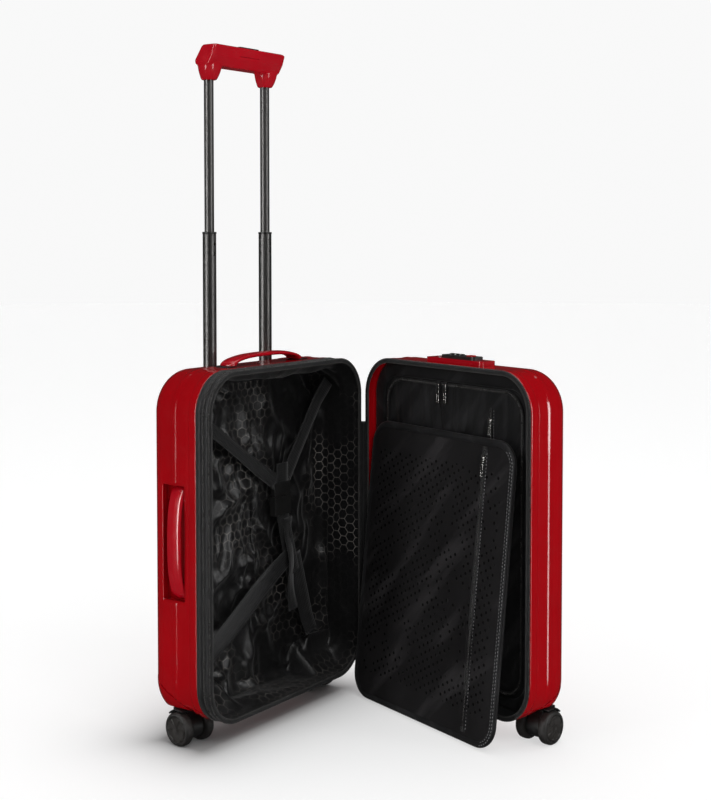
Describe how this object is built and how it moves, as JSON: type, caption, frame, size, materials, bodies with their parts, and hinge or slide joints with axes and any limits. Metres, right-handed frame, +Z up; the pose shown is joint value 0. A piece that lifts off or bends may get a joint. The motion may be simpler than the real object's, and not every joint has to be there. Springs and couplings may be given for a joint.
{
  "type": "hard shell suitcase",
  "caption": "Hard shell cabin suitcase on double casters, open on its side hinge, with a two-stage trolley handle, lined halves and a padded page.",
  "frame": {"origin": "middle of the footprint of the open case, on the floor under the wheels", "axes": "+Z up; +Y from the opening of the rear half towards its back panel; +X from the free side of the rear half towards the hinge"},
  "size_m": [0.465, 0.5045, 1.0323],
  "materials": {
    "red_shell": "deep glossy polycarbonate",
    "red_handle": "satin gloss moulded plastic",
    "black_plastic": "fine matte moulded plastic",
    "fabric_black": "woven polyester",
    "lining_satin": "crumpled satin lining with a honeycomb weave",
    "tube_grey": "dark anodised, brushed lengthways",
    "guide_plastic": "moulded",
    "steel": "bright zinc",
    "black_metal": "gloss black lacquer",
    "tyre": "soft thermoplastic rubber tread",
    "zipper_tape": "ribbed tape with coil teeth"
  },
  "bodies": {
    "root": {"rear_shell": "red_shell", "expansion_band": "fabric_black", "rear_zipper": "zipper_tape", "rear_lining": "lining_satin", "trolley_bezel": "red_shell", "tube_guides": "guide_plastic", "top_handle": "red_handle", "top_handle_mounts": "black_plastic", "side_handle": "red_handle", "side_handle_cup": "red_shell", "rear_wheel_housings": "red_shell", "rear_swivel_sets": "steel", "rear_screws": "steel", "strap_upper": "fabric_black", "strap_lower": "fabric_black", "buckle_female": "black_plastic", "buckle_male": "black_plastic", "hinge_gusset": "fabric_black"},
    "lid": {"front_shell": "red_shell", "front_zipper": "zipper_tape", "divider_panel": "fabric_black", "divider_zippers": "zipper_tape", "front_wheel_housings": "red_shell", "front_swivel_sets": "steel", "front_screws": "steel", "lock_base": "red_handle", "lock_body": "black_plastic"},
    "trolley_lower": {"outer_tubes": "tube_grey", "outer_collars": "black_plastic"},
    "trolley_upper": {"inner_tubes": "tube_grey", "inner_feet": "black_plastic", "grip": "red_handle", "button_spring": "steel"},
    "release": {"grip_button": "black_plastic", "release_rods": "steel"},
    "lock_pins": {"lock_pins": "steel"},
    "dial_1": {"lock_dial_1": "black_plastic"},
    "dial_2": {"lock_dial_2": "black_plastic"},
    "dial_3": {"lock_dial_3": "black_plastic"},
    "lock_slide": {"lock_button": "red_handle"},
    "key": {"key_cylinder": "steel"},
    "divider_pull_a": {"divider_pull_a": "black_metal"},
    "divider_pull_b": {"divider_pull_b": "black_metal"},
    "pocket_slider": {"pocket_slider": "black_metal"},
    "pocket_pull": {"pocket_pull": "black_metal"},
    "page": {"page": "fabric_black"},
    "page_slider": {"page_slider": "black_metal"},
    "page_pull": {"page_pull": "black_metal"},
    "caster_rear_left": {"caster_rear_left": "black_plastic"},
    "wheel_rear_left_out": {"wheel_rear_left_out": "tyre"},
    "wheel_rear_left_in": {"wheel_rear_left_in": "tyre"},
    "caster_rear_right": {"caster_rear_right": "black_plastic"},
    "wheel_rear_right_out": {"wheel_rear_right_out": "tyre"},
    "wheel_rear_right_in": {"wheel_rear_right_in": "tyre"},
    "caster_front_left": {"caster_front_left": "black_plastic"},
    "wheel_front_left_out": {"wheel_front_left_out": "tyre"},
    "wheel_front_left_in": {"wheel_front_left_in": "tyre"},
    "caster_front_right": {"caster_front_right": "black_plastic"},
    "wheel_front_right_out": {"wheel_front_right_out": "tyre"},
    "wheel_front_right_in": {"wheel_front_right_in": "tyre"}
  },
  "joints": [
    {"name": "lid_hinge", "type": "hinge", "parent": "root", "child": "lid", "pos_m": [0.1603, 0.1328, 0.292], "axis": [0, 0, 1], "range_deg": [-71.9, 108.1], "deforming": ["hinge_gusset", "page"]},
    {"name": "trolley_lower_slide", "type": "slide", "parent": "root", "child": "trolley_lower", "axis": [0, 0, 1], "range_m": [-0.195, 0]},
    {"name": "trolley_upper_slide", "type": "slide", "parent": "trolley_lower", "child": "trolley_upper", "axis": [0, 0, 1], "range_m": [-0.227, 0]},
    {"name": "release_press", "type": "slide", "parent": "trolley_upper", "child": "release", "axis": [0, 0, 1], "range_m": [-0.004, 0], "stiffness_N_per_m": 2000, "springref_m": 0.002, "deforming": ["button_spring"]},
    {"name": "lock_pins_slide", "type": "slide", "parent": "trolley_upper", "child": "lock_pins", "axis": [0, -1, 0], "range_m": [0, 0.0025]},
    {"name": "dial_1_turn", "type": "hinge", "parent": "lid", "child": "dial_1", "pos_m": [0.14149, -0.04706, 0.5575], "axis": [0.3107, 0.9505, 0], "continuous": true},
    {"name": "dial_2_turn", "type": "hinge", "parent": "lid", "child": "dial_2", "pos_m": [0.13808, -0.05751, 0.5575], "axis": [0.3107, 0.9505, 0], "continuous": true},
    {"name": "dial_3_turn", "type": "hinge", "parent": "lid", "child": "dial_3", "pos_m": [0.13466, -0.06797, 0.5575], "axis": [0.3107, 0.9505, 0], "continuous": true},
    {"name": "lock_slide_press", "type": "slide", "parent": "lid", "child": "lock_slide", "axis": [0.3107, 0.9505, 0], "range_m": [0, 0.004], "stiffness_N_per_m": 200},
    {"name": "key_turn", "type": "hinge", "parent": "lid", "child": "key", "pos_m": [0.14988, -0.02139, 0.554], "axis": [0, 0, 1], "range_deg": [0, 90]},
    {"name": "divider_pull_a_swing", "type": "hinge", "parent": "lid", "child": "divider_pull_a", "pos_m": [0.12071, -0.04658, 0.514], "axis": [-0.9505, 0.3107, 0], "range_deg": [-12, 60]},
    {"name": "divider_pull_b_swing", "type": "hinge", "parent": "lid", "child": "divider_pull_b", "pos_m": [0.12568, -0.03137, 0.514], "axis": [-0.9505, 0.3107, 0], "range_deg": [-60, 12]},
    {"name": "pocket_slide", "type": "slide", "parent": "lid", "child": "pocket_slider", "axis": [0, 0, 1], "range_m": [-0.36, 0]},
    {"name": "pocket_pull_swing", "type": "hinge", "parent": "pocket_slider", "child": "pocket_pull", "pos_m": [0.08933, -0.14258, 0.47], "axis": [-0.9505, 0.3107, 0], "range_deg": [-60, 60]},
    {"name": "page_swing", "type": "hinge", "parent": "lid", "child": "page", "pos_m": [0.11082, -0.04755, 0.447], "axis": [0.3437, 0.9391, 0], "range_deg": [0, 25]},
    {"name": "page_slide", "type": "slide", "parent": "page", "child": "page_slider", "axis": [0.0933, -0.0341, 0.9951], "range_m": [-0.35, 0]},
    {"name": "page_pull_swing", "type": "hinge", "parent": "page_slider", "child": "page_pull", "pos_m": [0.06646, -0.14419, 0.41769], "axis": [-0.9345, 0.342, 0.0993], "range_deg": [-60, 60]},
    {"name": "swivel_rear_left", "type": "hinge", "parent": "root", "child": "caster_rear_left", "pos_m": [-0.1895, 0.2148, 0.05], "axis": [0, 0, 1], "continuous": true},
    {"name": "roll_rear_left_out", "type": "hinge", "parent": "caster_rear_left", "child": "wheel_rear_left_out", "pos_m": [-0.21081, 0.20533, 0.025], "axis": [0.9925, -0.1219, 0], "continuous": true},
    {"name": "roll_rear_left_in", "type": "hinge", "parent": "caster_rear_left", "child": "wheel_rear_left_in", "pos_m": [-0.17111, 0.20045, 0.025], "axis": [0.9925, -0.1219, 0], "continuous": true},
    {"name": "swivel_rear_right", "type": "hinge", "parent": "root", "child": "caster_rear_right", "pos_m": [0.1205, 0.2148, 0.05], "axis": [0, 0, 1], "continuous": true},
    {"name": "roll_rear_right_out", "type": "hinge", "parent": "caster_rear_right", "child": "wheel_rear_right_out", "pos_m": [0.13889, 0.20045, 0.025], "axis": [0.9925, -0.1219, 0], "continuous": true},
    {"name": "roll_rear_right_in", "type": "hinge", "parent": "caster_rear_right", "child": "wheel_rear_right_in", "pos_m": [0.09919, 0.20533, 0.025], "axis": [0.9925, -0.1219, 0], "continuous": true},
    {"name": "swivel_front_left", "type": "hinge", "parent": "lid", "child": "caster_front_left", "pos_m": [0.11721, -0.22113, 0.05], "axis": [0, 0, 1], "continuous": true},
    {"name": "roll_front_left_out", "type": "hinge", "parent": "caster_front_left", "child": "wheel_front_left_out", "pos_m": [0.1022, -0.23898, 0.025], "axis": [-0.1582, -0.9874, 0], "continuous": true},
    {"name": "roll_front_left_in", "type": "hinge", "parent": "caster_front_left", "child": "wheel_front_left_in", "pos_m": [0.10852, -0.19948, 0.025], "axis": [-0.1582, -0.9874, 0], "continuous": true},
    {"name": "swivel_front_right", "type": "hinge", "parent": "lid", "child": "caster_front_right", "pos_m": [0.21352, 0.07353, 0.05], "axis": [0, 0, 1], "continuous": true},
    {"name": "roll_front_right_out", "type": "hinge", "parent": "caster_front_right", "child": "wheel_front_right_out", "pos_m": [0.20483, 0.09518, 0.025], "axis": [-0.1582, -0.9874, 0], "continuous": true},
    {"name": "roll_front_right_in", "type": "hinge", "parent": "caster_front_right", "child": "wheel_front_right_in", "pos_m": [0.19851, 0.05568, 0.025], "axis": [-0.1582, -0.9874, 0], "continuous": true}
  ]
}
